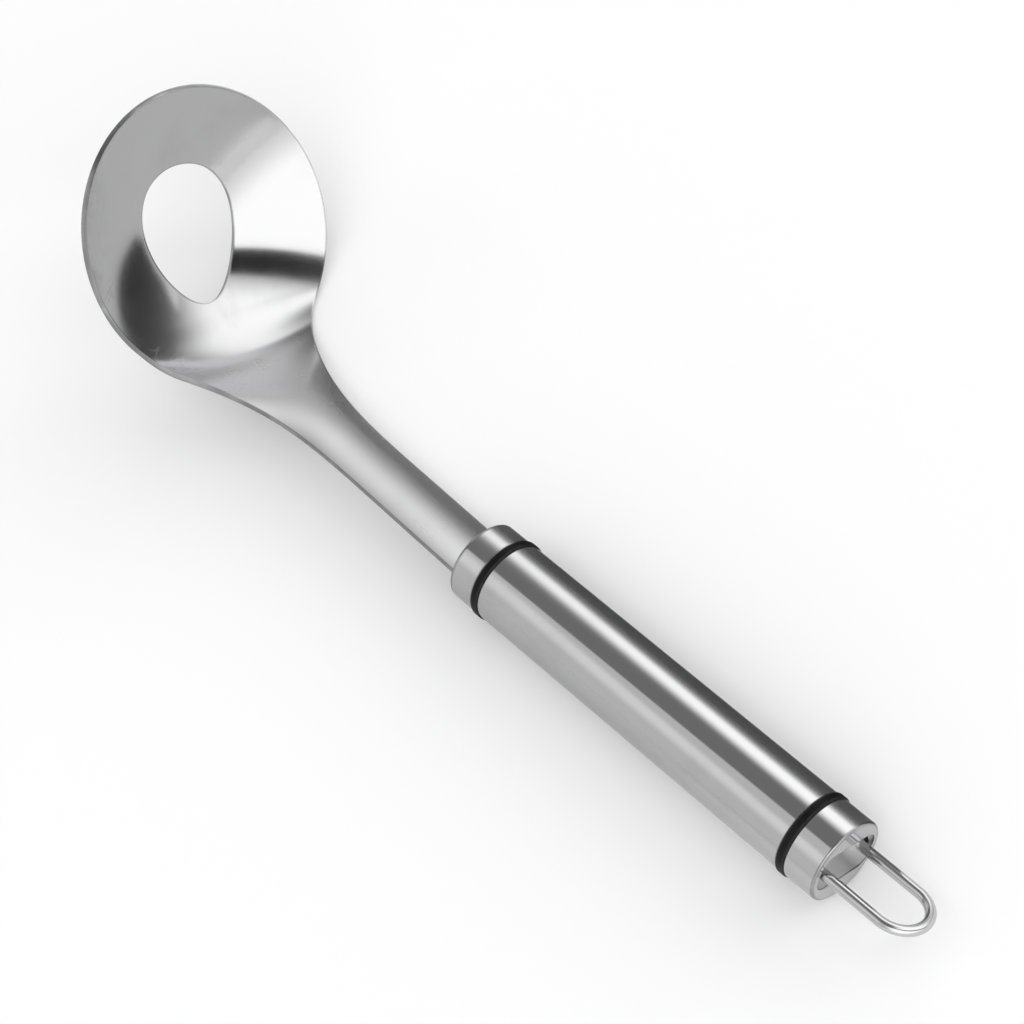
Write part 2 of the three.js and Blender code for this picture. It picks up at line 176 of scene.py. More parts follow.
def half_width(s, newton_steps=12):
    """Half of the plan outline at a distance along the sheet: tang, straight stem, a cubic flare
    whose parameter is found by Newton steps, then the bowl's circle."""
    join = NECK_END - BOWL_CENTRE
    join_width = math.sqrt(BOWL_RADIUS**2 - join**2)
    rise = -join / join_width
    run = np.array([FLARE_START, FLARE_START + FLARE_PULL, NECK_END - NECK_PULL, NECK_END])
    wide = np.array([STEM_HALF, STEM_HALF, join_width - rise * NECK_PULL, join_width])
    t = np.clip((s - run[0]) / (run[3] - run[0]), 0, 1)
    gaps = np.diff(run)
    for _ in range(newton_steps):
        speed = 3 * ((1 - t) ** 2 * gaps[0] + 2 * t * (1 - t) * gaps[1] + t * t * gaps[2])
        t = np.clip(t - (bezier(t, run) - np.clip(s, run[0], run[3])) / speed, 0, 1)
    bowl = np.sqrt(np.maximum(BOWL_RADIUS**2 - (s - BOWL_CENTRE) ** 2, 0))
    tang = np.interp(s, [-SHOULDER_END, -SHOULDER_START], [TANG_HALF, STEM_HALF])
    return np.where(s < 0, tang, np.where(s < NECK_END, bezier(t, wide), bowl))


def cross_bend(s):
    """Bend across the sheet: crowned along the stem, dished in the bowl, flat in the tang."""
    crown = STEM_CROWN / STEM_HALF**2
    dish = -BOWL_DEPTH / BOWL_RADIUS**2
    fade = np.clip(1 + s / SHOULDER_END, 0, 1)
    return fade * (crown + (dish - crown) * step(s, DISH_START, DISH_END))


def sheet_points(s, p):
    """Middle surface of the sheet at s along it and p across: the edge in side view, moved across by p
    and along the edge's normal by the bend times (half width squared minus p squared)."""
    slope = np.interp(s, SIDE_S, SIDE_SLOPE)
    lift = cross_bend(s) * (half_width(s) ** 2 - p**2)
    x = np.interp(s, SIDE_S, SIDE_X) + lift * np.sin(slope)
    z = np.interp(s, SIDE_S, SIDE_Z) + lift * np.cos(slope)
    return np.stack([x, p, z], -1)


def spoon_surface(split=74.0, past_shoulder=-2.0, across=48, ray_steps=56, neck_steps=40, bowl_steps=140,
                  strip_steps=150, shoulder_steps=12, tang_steps=20):
    """Middle surface of the spoon: a ring of rays from the hole's edge to the bowl's outline, and a strip
    from the neck to the end of the tang that shares its first row with the ring."""
    bowl_turn = np.linspace(math.acos((NECK_END - BOWL_CENTRE) / BOWL_RADIUS), 0, bowl_steps)
    s_line = np.concatenate([np.linspace(split, NECK_END, neck_steps)[:-1],
                             BOWL_CENTRE + BOWL_RADIUS * np.cos(bowl_turn)])
    side = np.stack([s_line, half_width(s_line)], -1)
    side[-1, 1] = 0
    cut_half = side[0, 1]
    cut = np.stack([np.full(across + 1, split), np.linspace(-cut_half, cut_half, across + 1)], -1)
    outer = np.concatenate([side, side[-2:0:-1] * [1, -1], cut[:-1]])
    centre = np.array([BOWL_CENTRE + HOLE_SHIFT, 0])
    ray = (outer - centre) / np.array([HOLE_HALF_LENGTH, HOLE_HALF_WIDTH])
    turn = np.arctan2(ray[:, 1], ray[:, 0])
    hole_half = HOLE_HALF_WIDTH + HOLE_TAPER * np.cos(turn)
    inner = centre + np.stack([HOLE_HALF_LENGTH * np.cos(turn), hole_half * np.sin(turn)], -1)
    ring = inner + (outer - inner) * np.linspace(0, 1, ray_steps)[:, None, None]
    # Edge rows along the hole and the outline, which the steel paints darker: partly rubbing, partly painted
    # shade as fine shadow lines.
    ring_edge = np.zeros(ring.shape[:2])
    ring_edge[0] = 1
    ring_edge[-1, : 2 * len(side) - 1] = 1
    stations = np.concatenate([
        np.linspace(split, 0, strip_steps),
        np.linspace(0, past_shoulder, shoulder_steps)[1:],
        np.linspace(past_shoulder, -TANG_END, tang_steps)[1:],
    ])
    share = np.linspace(-1, 1, across + 1)
    strip = np.stack(np.broadcast_arrays(stations[:, None], half_width(stations)[:, None] * share), -1)
    strip_edge = np.broadcast_to(np.abs(share) == 1, strip.shape[:2])
    flat = np.concatenate([ring.reshape(-1, 2), strip.reshape(-1, 2)])
    faces = np.concatenate([
        grid_faces(ray_steps, len(outer), wrap_columns=True),
        grid_faces(len(stations), across + 1, first=ring_edge.size),
    ])
    lay = np.concatenate([flat, np.zeros((len(flat), 1))], 1)
    edge = np.concatenate([ring_edge.ravel(), strip_edge.ravel()])
    satin_and_pale = step(flat[:, 0], SATIN_END, SATIN_START)
    return sheet_points(flat[:, 0], flat[:, 1]), faces, lay, edge, satin_and_pale


# Turned pieces

def profile(corners, rounds, steps=6, support=0.1):
    """Turned profile of x, radius and edge: straight runs between (x, radius) corners, each rounded
    corner an arc about a middle point, with a support point on either side of it."""
    corners = np.array(corners, float)
    points = []
    for i, size in enumerate(rounds):
        here, before, after = corners[i], corners[i - 1], corners[(i + 1) % len(corners)]
        if size == 0:
            points.append([[*here, 0]])
            continue
        a = (before - here) / np.linalg.norm(before - here)
        b = (after - here) / np.linalg.norm(after - here)
        half = math.acos(np.clip(a @ b, -1, 1)) / 2
        reach = size / math.tan(half)
        middle = here + (a + b) / np.linalg.norm(a + b) * size / math.sin(half)
        start, end = here + a * reach - middle, here + b * reach - middle
        turn = math.pi - 2 * half
        t = np.linspace(0, 1, steps + 1)[:, None]
        arc = middle + (np.sin((1 - t) * turn) * start + np.sin(t * turn) * end) / math.sin(turn)
        edge_arc = np.concatenate([arc, np.ones((steps + 1, 1))], 1)
        ends = [[*(here + side * (reach + support)), 0] for side in (a, b)]
        points.append(np.concatenate([ends[:1], edge_arc, ends[1:]]))
    return np.concatenate(points)


def lathe_lay(points):
    """Turned points laid out along their lathe lines: y, x plus radius, z. The lines run round the axis,
    so only the middle number changes fast across them."""
    radius = np.hypot(points[:, 1], points[:, 2])
    return np.stack([points[:, 1], points[:, 0] + radius, points[:, 2]], -1)


def turned(line, around=160):
    """A profile of x, radius and edge carried round the handle axis."""
    angle = np.arange(around) * 2 * math.pi / around
    x = np.repeat(line[:, :1], around, 1)
    points = np.stack([x, line[:, 1:2] * np.cos(angle), line[:, 1:2] * np.sin(angle)], -1).reshape(-1, 3)
    faces = grid_faces(len(line), around, wrap_rows=True, wrap_columns=True)
    return points, faces, lathe_lay(points), np.repeat(line[:, 2], around), np.zeros(len(points))


def ferrule_surface(around=240, long_power=0.45, short_power=0.35):
    """Ferrule as closed loops carried from the slot's wall over the front face, round the outside and
    back through the bore: each loop on the face is a mix of the slot's outline and a circle.
    The slot's outline is a cosine and a sine, each to a power, lifted like the crowned stem."""
    angle = np.arange(around) * 2 * math.pi / around
    c, s = np.cos(angle), np.sin(angle)
    p = (STEM_HALF + FIT) * np.sign(c) * np.abs(c) ** long_power
    h = (SHEET / 2 + FIT) * np.sign(s) * np.abs(s) ** short_power
    crown = STEM_CROWN * (1 - (p / STEM_HALF) ** 2) - STEM_DROP
    slot = np.stack([p, h + crown], -1)
    circle = np.stack([c, s], -1)
    face = HANDLE_RADIUS - FERRULE_ROUND
    depths = np.array([FERRULE_WALL - 0.1, 0.25, 0.1, 0, 0, 0, 0, 0])
    shares = np.array([0, 0, 0.01, 0.03, 0.2, 0.5, 0.8, 0.97])
    line = profile([(0, face - 1), (0, HANDLE_RADIUS), (FERRULE_END, HANDLE_RADIUS),
                    (FERRULE_END, FERRULE_BORE), (FERRULE_WALL, FERRULE_BORE)],
                   [0, FERRULE_ROUND, SMALL_ROUND, 0, 0], steps=8, support=0.25)[1:]
    sections = np.concatenate([slot + (circle * face - slot) * shares[:, None, None],
                               line[:, 1][:, None, None] * circle])
    x = np.concatenate([depths, line[:, 0]])
    points = np.concatenate([np.broadcast_to(x[:, None, None], (len(x), around, 1)), sections], -1)
    points = points.reshape(-1, 3)
    edge = np.concatenate([[0, 1, 1, 1, 0, 0, 0, 0], line[:, 2]])
    faces = grid_faces(len(x), around, wrap_rows=True, wrap_columns=True)
    return points, faces, lathe_lay(points), np.repeat(edge, around), np.zeros(len(points))


def oblong(angle, halvings=40):
    """Outline of the recess at polar angles, a rectangle with round corners: the reach along each ray,
    found by halving, at which the distance to the inner rectangle is the corner's radius."""
    ray = np.stack([np.cos(angle), np.sin(angle)], -1)
    inner = np.array([RECESS_HALF_LENGTH, RECESS_HALF_WIDTH]) - RECESS_CORNER
    near, far = np.zeros(len(angle)), np.full(len(angle), 2 * RECESS_HALF_LENGTH)
    for _ in range(halvings):
        reach = (near + far) / 2
        over = np.maximum(np.abs(ray) * reach[:, None] - inner, 0)
        outside = np.linalg.norm(over, axis=1) > RECESS_CORNER
        near, far = np.where(outside, near, reach), np.where(outside, reach, far)
    return ray * near[:, None]


def cut_sockets(points, faces, edge, depths=(0.15, 0.4, 0.7, 1.0), near_wall=0.5, slack=0.06):
    """Holes for the loop's pivots in the end walls of the recess: faces within a socket's radius of the
    pivot line are taken out, the points round the gap are set on the circle, and rings at growing
    depths and a last point in the middle close the hole."""
    past_wall = np.array([*depths, SOCKET_END - RECESS_HALF_LENGTH])
    for side in (1, -1):
        offset = points[:, [0, 2]] - [PIVOT_X, 0]
        distance = np.linalg.norm(offset, axis=1)
        on_wall = np.abs(side * points[:, 1] - RECESS_HALF_LENGTH) < near_wall
        inside = on_wall & (distance < SOCKET_RADIUS - slack)
        cut = inside[faces].any(1)
        rim = np.setdiff1d(faces[cut], np.flatnonzero(inside))
        rim = rim[np.argsort(np.arctan2(offset[rim, 1], offset[rim, 0]))]
        points[rim[:, None], [0, 2]] = [PIVOT_X, 0] + offset[rim] / distance[rim, None] * SOCKET_RADIUS
        rings = np.repeat(points[rim][None], len(past_wall), 0)
        rings[:, :, 1] = side * (RECESS_HALF_LENGTH + past_wall)[:, None]
        rings[-1] = [PIVOT_X, side * SOCKET_END, 0]
        number = len(points) + np.arange(rings[..., 0].size).reshape(rings.shape[:2])
        number = np.concatenate([rim[None], number])
        beside = np.roll(number, -1, 1)
        quads = np.stack([number[:-1], beside[:-1], beside[1:], number[1:]], -1)
        points = np.concatenate([points, rings.reshape(-1, 3)])
        faces = np.concatenate([faces[~cut], quads.reshape(-1, 4)])
        edge = np.concatenate([edge, np.zeros(rings[..., 0].size)])
        # The socket's rim counts as an edge, so the steel paints a dark ring of shade round the hole.
        edge[rim] = 1
    return points, faces, edge


def cap_surface(around=240, wall_steps=30, foot=0.2, rim_share=0.98, skin=0.3):
    """End cap as loops: a turned profile from the axis behind the spigot round the outside to the end
    face, then a mix of circle and oblong over the face, and the oblong down the recess to its floor.
    The recess turns rougher and paler, its paleness painted light that lifts the shade inside it, between the
    depth of its rim, which is painted darker, and that of its pale wall."""
    angle = np.arange(around) * 2 * math.pi / around
    circle = np.stack([np.cos(angle), np.sin(angle)], -1)
    recess = oblong(angle)
    line = profile(
        [(ROD_HOLE_END, 0), (ROD_HOLE_END, ROD_HOLE), (SPIGOT_START, ROD_HOLE),
         (SPIGOT_START, SPIGOT_RADIUS), (CAP_START, SPIGOT_RADIUS), (CAP_START, HANDLE_RADIUS),
         (HANDLE_END, HANDLE_RADIUS), (HANDLE_END, 0)],
        [0, 0, 0, 0, 0, SMALL_ROUND, CAP_CHAMFER, 0])[:-1]
    land = line[-1, 1] * circle
    shares = np.array([0.2, 0.45, 0.7, 0.9, 0.96, 0.985, 1])
    lip = [0.02, 0.08, 0.15]
    walls = np.concatenate([lip, np.linspace(RECESS_PALE_DEPTH, RECESS_DEPTH - foot, wall_steps), [RECESS_DEPTH]])
    inward = np.array([0.97, 0.7, 0.4, 0])
    sections = np.concatenate([
        line[:, 1][:, None, None] * circle,
        land + (recess - land) * shares[:, None, None],
        np.repeat(recess[None], len(walls), 0),
        recess * inward[:, None, None],
    ])
    x = np.concatenate([line[:, 0], np.full(len(shares), HANDLE_END), HANDLE_END - walls,
                        np.full(len(inward), HANDLE_END - RECESS_DEPTH)])
    edge = np.concatenate([line[:, 2], shares > rim_share, walls < RECESS_RIM, np.zeros(len(inward))])
    points = np.concatenate([np.broadcast_to(x[:, None, None], (len(x), around, 1)), sections], -1)
    faces = grid_faces(len(x), around, wrap_columns=True)
    points, faces, edge = cut_sockets(points.reshape(-1, 3), faces, np.repeat(edge, around))
    depth = HANDLE_END - points[:, 0]
    under_skin = np.hypot(points[:, 1], points[:, 2]) < HANDLE_RADIUS - skin
    in_recess = under_skin & (depth < RECESS_DEPTH + RECESS_RIM)
    # In the recess the finish value climbs past 1: the steel turns rougher and is painted paler, painted
    # light against the recess's shade.
    satin_and_pale = RECESS_SATIN_AND_PALE * in_recess * step(depth, RECESS_RIM, RECESS_PALE_DEPTH)
    return points, faces, lathe_lay(points), edge, satin_and_pale


def wire_surface(sides=28, end_steps=4, bend_steps=13, leg_steps=24, arch_steps=73):
    """Loop wire: a circle carried along pivot end, bend, leg, arch, leg, bend and pivot end in one plane.
    Its lay is the straightened wire: length along it, then the place round its section."""
    arch_x = HANDLE_END + LOOP_OUT - WIRE_RADIUS - LOOP_HALF_GAP
    turn_x, turn_y = PIVOT_X + PIVOT_BEND, LOOP_HALF_GAP + PIVOT_BEND
    bend = np.linspace(math.pi, math.pi / 2, bend_steps)
    arch = np.linspace(-math.pi / 2, math.pi / 2, arch_steps)
    half = np.concatenate([
        np.stack([np.full(end_steps, PIVOT_X), np.linspace(-PIVOT_END, -turn_y, end_steps)], -1),
        np.stack([turn_x + PIVOT_BEND * np.cos(bend), -turn_y + PIVOT_BEND * np.sin(bend)], -1)[1:],
        np.stack([np.linspace(turn_x, arch_x, leg_steps), np.full(leg_steps, -LOOP_HALF_GAP)], -1)[1:],
    ])
    middle = np.stack([arch_x + LOOP_HALF_GAP * np.cos(arch), LOOP_HALF_GAP * np.sin(arch)], -1)[1:-1]
    line = np.concatenate([half, middle, half[::-1] * [1, -1]])
    way = np.gradient(line, axis=0)
    way /= np.linalg.norm(way, axis=1, keepdims=True)
    across = np.stack([-way[:, 1], way[:, 0], np.zeros(len(line))], -1)
    up = np.array([0, 0, 1.0])
    angle = np.arange(sides) * 2 * math.pi / sides
    round_section = across[:, None] * np.cos(angle)[:, None] + up * np.sin(angle)[:, None]
    spine = np.concatenate([line, np.zeros((len(line), 1))], 1)[:, None]
    ends = [np.repeat(spine[i][None], sides, 1) for i in (0, -1)]
    points = np.concatenate([ends[0], spine + WIRE_RADIUS * round_section, ends[1]])
    length = np.concatenate([[0], np.cumsum(np.linalg.norm(np.diff(line, axis=0), axis=1))])
    length = np.concatenate([length[:1], length, length[-1:]])
    section = WIRE_RADIUS * np.stack([np.cos(angle), np.sin(angle)], -1)
    lay = np.concatenate([np.broadcast_to(length[:, None, None], (*points.shape[:2], 1)),
                          np.broadcast_to(section, (*points.shape[:2], 2))], -1)
    faces = grid_faces(len(points), sides, wrap_columns=True)
    plain = np.zeros(points[..., 0].size)
    return points.reshape(-1, 3), faces, lay.reshape(-1, 3), plain, plain


# Shader nodes

def plug(tree, value, socket):
    """Links another node's output to a socket, or sets the socket to a plain value."""
    if isinstance(value, bpy.types.NodeSocket):
        tree.links.new(value, socket)
    else:
        socket.default_value = value


def add(tree, kind, values=None, **settings):
    """A new node with its settings, and its inputs set or linked."""
    node = tree.nodes.new("ShaderNode" + kind)
    for name, value in settings.items():
        setattr(node, name, value)
    for name, value in (values or {}).items():
        plug(tree, value, node.inputs[name])
    return node


def calc(tree, operation, *values):
    """Result of a sum on one, two or three values."""
    return add(tree, "Math", dict(enumerate(values)), operation=operation).outputs[0]


def ramp(tree, value, start, end):
    """Smooth step from 0 at start to 1 at end."""
    values = {"Value": value, "From Min": start, "From Max": end}
    return add(tree, "MapRange", values, interpolation_type="SMOOTHSTEP").outputs["Result"]


def noise(tree, place, scale, detail=2.0, distortion=0.0):
    """Value of a noise texture at a place."""
    values = {"Vector": place, "Scale": scale, "Detail": detail, "Distortion": distortion}
    return add(tree, "TexNoise", values).outputs["Fac"]


def stretch(tree, place, scale):
    """A place multiplied axis by axis."""
    return add(tree, "VectorMath", {0: place, 1: scale}, operation="MULTIPLY").outputs[0]


def blend(tree, factor, first, second):
    """Mix of two colours."""
    mix = add(tree, "Mix", {0: factor, 6: first, 7: second}, data_type="RGBA")
    return mix.outputs[2]


def weighed(tree, start, *shares):
    """A start value plus each changing value times its weight."""
    total = start
    for value, weight in shares:
        total = calc(tree, "MULTIPLY_ADD", value, weight, total)
    return total


def effect(name, inputs, outputs):
    """An empty shader group with named sockets: the group, what it is given and its result node."""
    group = bpy.data.node_groups.new(name, "ShaderNodeTree")
    for direction, sockets in (("INPUT", inputs), ("OUTPUT", outputs)):
        for socket, kind in sockets.items():
            group.interface.new_socket(socket, in_out=direction, socket_type="NodeSocket" + kind)
    return group, group.nodes.new("NodeGroupInput").outputs, group.nodes.new("NodeGroupOutput").inputs


def use(tree, group, values):
    """A group placed in a material, with its inputs set or linked: its outputs."""
    node = add(tree, "Group", node_tree=group)
    for name, value in values.items():
        plug(tree, value, node.inputs[name])
    return node.outputs


# Effects that the finishes share

NOISE_MIDDLE, HAIR_WIDTH = 0.5, 0.008


def polish_lines_group():
    """Fine lines left by the polishing wheel: noise that changes fast across the lines and slowly along
    them, at two widths."""
    group, given, result = effect(
        "polish_lines", {"Lay": "Vector", "Coarse": "Vector", "Fine": "Vector"}, {"Lines": "Float"})
    coarse = noise(group, stretch(group, given["Lay"], given["Coarse"]), 1.0, 3.0)
    fine = noise(group, stretch(group, given["Lay"], given["Fine"]), 1.0, 1.0)
    plug(group, calc(group, "MULTIPLY", calc(group, "ADD", coarse, fine), 0.5), result["Lines"])
    return group


def handling_marks_group():
    """Marks of use: soft greasy smudges broken up by a finer noise, and hairline scratches, which are the
    lines along which a stretched noise crosses its middle value, kept only in patches."""
    group, given, result = effect(
        "handling_marks", {"Place": "Vector", "Smudge Scale": "Float", "Scratch Scale": "Float"},
        {"Smudges": "Float", "Scratches": "Float"})
    place = given["Place"]
    patches = ramp(group, noise(group, place, given["Smudge Scale"], 3.0, 0.4), 0.46, 0.74)
    breaks = noise(group, place, calc(group, "MULTIPLY", given["Smudge Scale"], 9.0), 2.0)
    plug(group, calc(group, "MULTIPLY", patches, breaks), result["Smudges"])
    hairs = []
    for turn, squeeze in ((0.5, (0.05, 1.0, 1.0)), (-0.7, (1.0, 0.06, 0.4))):
        turned_place = add(group, "VectorRotate", {"Vector": place, "Angle": turn}, rotation_type="Z_AXIS")
        field = noise(group, stretch(group, turned_place.outputs[0], squeeze), given["Scratch Scale"], 1.0)
        away = calc(group, "ABSOLUTE", calc(group, "SUBTRACT", field, NOISE_MIDDLE))
        hairs.append(ramp(group, away, HAIR_WIDTH, 0.0))
    where = ramp(group, noise(group, place, calc(group, "MULTIPLY", given["Scratch Scale"], 0.3)), 0.5, 0.62)
    both = calc(group, "MAXIMUM", *hairs)
    plug(group, calc(group, "MULTIPLY", both, where), result["Scratches"])
    return group


def patchy_edge_group():
    """Patchy mark along edges, rubbed edges in the plastic and rubbed edges with painted shade in the steel:
    the piece's edge value, broken up by a patchy noise.
    """
    group, given, result = effect(
        "patchy_edge", {"Edge": "Float", "Place": "Vector", "Patch Scale": "Float"}, {"Patchy Edge": "Float"})
    patches = ramp(group, noise(group, given["Place"], given["Patch Scale"], 2.0), 0.1, 0.6)
    plug(group, calc(group, "MULTIPLY", given["Edge"], patches), result["Patchy Edge"])
    return group


POLISH_LINES = polish_lines_group()
HANDLING_MARKS = handling_marks_group()
PATCHY_EDGE = patchy_edge_group()


# Finishes: colours, roughness before marks, patterns per metre and depths of relief in metres

# Steel colours: the pale recess steel is painted light that lifts the shade in the recess; the dark edge
# steel is partly rubbed edges and partly painted shade, fine shadow lines along the edges.
STEEL, SATIN_STEEL, PALE_RECESS_STEEL = (0.56, 0.56, 0.565, 1), (0.49, 0.49, 0.495, 1), (0.8, 0.8, 0.8, 1)
SMUDGED_STEEL, WORN_AND_SHADED_STEEL = (0.5, 0.5, 0.5, 1), (0.3, 0.3, 0.305, 1)
BLACK, SMUDGED_BLACK = (0.004, 0.004, 0.0042, 1), (0.009, 0.009, 0.0095, 1)
RUBBED_BLACK = (0.018, 0.018, 0.019, 1)
ZINC, PALE_ZINC, FILMED_ZINC = (0.55, 0.56, 0.59, 1), (0.68, 0.69, 0.71, 1), (0.42, 0.42, 0.43, 1)
STEEL_ROUGH, BLACK_ROUGH, ZINC_ROUGH = 0.075, 0.42, 0.32
GRAIN_SCALE, SPANGLE_SCALE, CLOUD_SCALE = 3500.0, 900.0, 250.0
GRAIN_DEPTH, CLOUD_DEPTH = 1.2e-5, 1e-5


def new_finish(name):
    """A material with its node tree and its shader."""
    material = bpy.data.materials.new(name)
    material.use_nodes = True
    return material, material.node_tree, material.node_tree.nodes["Principled BSDF"]


def bumped(tree, shader, height, depth):
    """Fine relief on the shader's normal, its depth in metres."""
    bump = add(tree, "Bump", {"Height": height, "Distance": depth, "Strength": 1.0})
    plug(tree, bump.outputs["Normal"], shader.inputs["Normal"])


def attribute(tree, name):
    """Outputs of one of the piece's own attributes."""
    return add(tree, "Attribute", attribute_name=name).outputs


def polished_steel(name, coarse, fine, line_depth):
    """Polished stainless steel: polishing lines, smudges and hairlines in its roughness, duller edges painted
    darker, partly from rubbing and partly as painted shade in fine shadow lines, a duller brushed stem, and a
    rougher recess painted paler, painted light that lifts the shade inside it."""
    material, tree, shader = new_finish(name)
    lay = attribute(tree, "lay")["Vector"]
    place = add(tree, "TexCoord").outputs["Object"]
    lines = use(tree, POLISH_LINES, {"Lay": lay, "Coarse": coarse, "Fine": fine})["Lines"]
    marks = use(tree, HANDLING_MARKS, {"Place": place, "Smudge Scale": 60.0, "Scratch Scale": 300.0})
    edge = attribute(tree, "edge")["Fac"]
    edge_patches = use(tree, PATCHY_EDGE, {"Edge": edge, "Place": place, "Patch Scale": 150.0})["Patchy Edge"]
    satin_and_pale = attribute(tree, "satin_and_pale")["Fac"]
    brushed = blend(tree, ramp(tree, satin_and_pale, 0.6, 1.0), STEEL, SATIN_STEEL)
    # Painted light: the recess is painted paler steel, lifting its shade.
    recess_lightened = blend(tree, ramp(tree, satin_and_pale, 1.0, RECESS_SATIN_AND_PALE), brushed, PALE_RECESS_STEEL)
    clean = blend(tree, marks["Smudges"], recess_lightened, SMUDGED_STEEL)
    # Edges painted darker: partly rubbing, partly painted shade as fine shadow lines.
    plug(tree, blend(tree, edge_patches, clean, WORN_AND_SHADED_STEEL), shader.inputs["Base Color"])
    shader.inputs["Metallic"].default_value = 1
    dulled = [(lines, 0.05), (marks["Smudges"], 0.12), (marks["Scratches"], 0.08),
              (edge_patches, 0.14), (satin_and_pale, 0.12)]
    plug(tree, weighed(tree, STEEL_ROUGH, *dulled), shader.inputs["Roughness"])
    bumped(tree, shader, weighed(tree, lines, (marks["Scratches"], -0.4)), line_depth)
    return material


def black_plastic():
    """Satin black plastic: fine moulded grain, mottled black, greyer rubbed edges and smudges."""
    material, tree, shader = new_finish("black_plastic")
    place = add(tree, "TexCoord").outputs["Object"]
    grain = noise(tree, place, GRAIN_SCALE, 3.0)
    marks = use(tree, HANDLING_MARKS, {"Place": place, "Smudge Scale": 140.0, "Scratch Scale": 260.0})
    edge = attribute(tree, "edge")["Fac"]
    edge_patches = use(tree, PATCHY_EDGE, {"Edge": edge, "Place": place, "Patch Scale": 700.0})["Patchy Edge"]
    mottled = blend(tree, marks["Smudges"], BLACK, SMUDGED_BLACK)
    plug(tree, blend(tree, edge_patches, mottled, RUBBED_BLACK), shader.inputs["Base Color"])
    shader.inputs["Specular IOR Level"].default_value = 0.15
    rough = weighed(tree, BLACK_ROUGH, (grain, 0.14), (marks["Smudges"], 0.12), (marks["Scratches"], 0.15))
    plug(tree, rough, shader.inputs["Roughness"])
    bumped(tree, shader, grain, GRAIN_DEPTH)
    return material


def zinc_plate():
    """Dull zinc plate: grey spangle in small cells, a cloudy film and fine scratches."""
    material, tree, shader = new_finish("zinc_plate")
    place = add(tree, "TexCoord").outputs["Object"]
    cells = add(tree, "TexVoronoi", {"Vector": place, "Scale": SPANGLE_SCALE}).outputs["Color"]
    spangle = add(tree, "SeparateColor", {"Color": cells}).outputs["Red"]
    cloud = noise(tree, place, CLOUD_SCALE, 3.0)
    marks = use(tree, HANDLING_MARKS, {"Place": place, "Smudge Scale": 180.0, "Scratch Scale": 300.0})
    plated = blend(tree, spangle, ZINC, PALE_ZINC)
    plug(tree, blend(tree, marks["Smudges"], plated, FILMED_ZINC), shader.inputs["Base Color"])
    shader.inputs["Metallic"].default_value = 1
    plug(tree, weighed(tree, ZINC_ROUGH, (cloud, 0.2), (marks["Scratches"], 0.1)), shader.inputs["Roughness"])
    bumped(tree, shader, cloud, CLOUD_DEPTH)
    return material


SHEET_STEEL = polished_steel("sheet_steel", (60, 2200, 0), (200, 6500, 0), 2e-6)
TURNED_STEEL = polished_steel("turned_steel", (70, 2600, 70), (240, 7500, 240), 1.5e-6)
WIRE_STEEL = polished_steel("wire_steel", (60, 2400, 2400), (200, 6000, 6000), 2e-6)
BLACK_PLASTIC = black_plastic()
ZINC_PLATE = zinc_plate()

# Pieces

BEVEL_ANGLE = 50
spoon = make_piece("spoon_sheet", spoon_surface(), "handle", SHEET_STEEL, "spoon")
wall = spoon.modifiers.new("wall", "SOLIDIFY")
wall.thickness = SHEET * MM
wall.offset = 0
rounded = spoon.modifiers.new("rounded_edge", "BEVEL")
rounded.width = SHEET_ROUND * MM
rounded.segments = 3
rounded.limit_method = "ANGLE"
rounded.angle_limit = math.radians(BEVEL_ANGLE)

FRONT_RING = profile(
    [(FERRULE_WALL + FIT, FRONT_BUSH_BORE), (FERRULE_WALL + FIT, FRONT_BUSH_NOSE),
     (FERRULE_END, FRONT_BUSH_NOSE), (FERRULE_END, RING_RADIUS), (TUBE_START, RING_RADIUS),
     (TUBE_START, BUSH_RADIUS), (FRONT_BUSH_END, BUSH_RADIUS), (FRONT_BUSH_END, FRONT_BUSH_BORE)],
    [0, SMALL_ROUND, 0, RING_ROUND, RING_ROUND, 0, SMALL_ROUND, 0])
TUBE = profile(
    [(TUBE_START, TUBE_BORE), (TUBE_START, HANDLE_RADIUS), (TUBE_END, HANDLE_RADIUS), (TUBE_END, TUBE_BORE)],
    [0, SMALL_ROUND, SMALL_ROUND, 0])
REAR_RING = profile(
    [(REAR_BUSH_START, REAR_BUSH_BORE), (REAR_BUSH_START, BUSH_RADIUS), (TUBE_END, BUSH_RADIUS),
     (TUBE_END, RING_RADIUS), (CAP_START, RING_RADIUS), (CAP_START, REAR_BUSH_BORE)],
    [0, SMALL_ROUND, 0, RING_ROUND, RING_ROUND, 0])
for name, surface, material, slot, node in (
    ("ferrule_collar", ferrule_surface(), TURNED_STEEL, "polished_steel", "front_ferrule"),
    ("front_ring", turned(FRONT_RING), BLACK_PLASTIC, "black_plastic", "front_bush"),
    ("tube_shell", turned(TUBE), TURNED_STEEL, "polished_steel", "handle_tube"),
    ("rear_ring", turned(REAR_RING), BLACK_PLASTIC, "black_plastic", "rear_bush"),
    ("cap_shell", cap_surface(), TURNED_STEEL, "polished_steel", "end_cap"),
):
    make_piece(name, surface, "handle", material, node)
make_piece("loop_wire", wire_surface(), "loop", WIRE_STEEL, "hanging_loop")
for node in ("tie_rod", "tang_rivet_front", "tang_rivet_rear"):
    for holder in frame["nodes"][node].material_slots:
        holder.material = ZINC_PLATE

# Camera

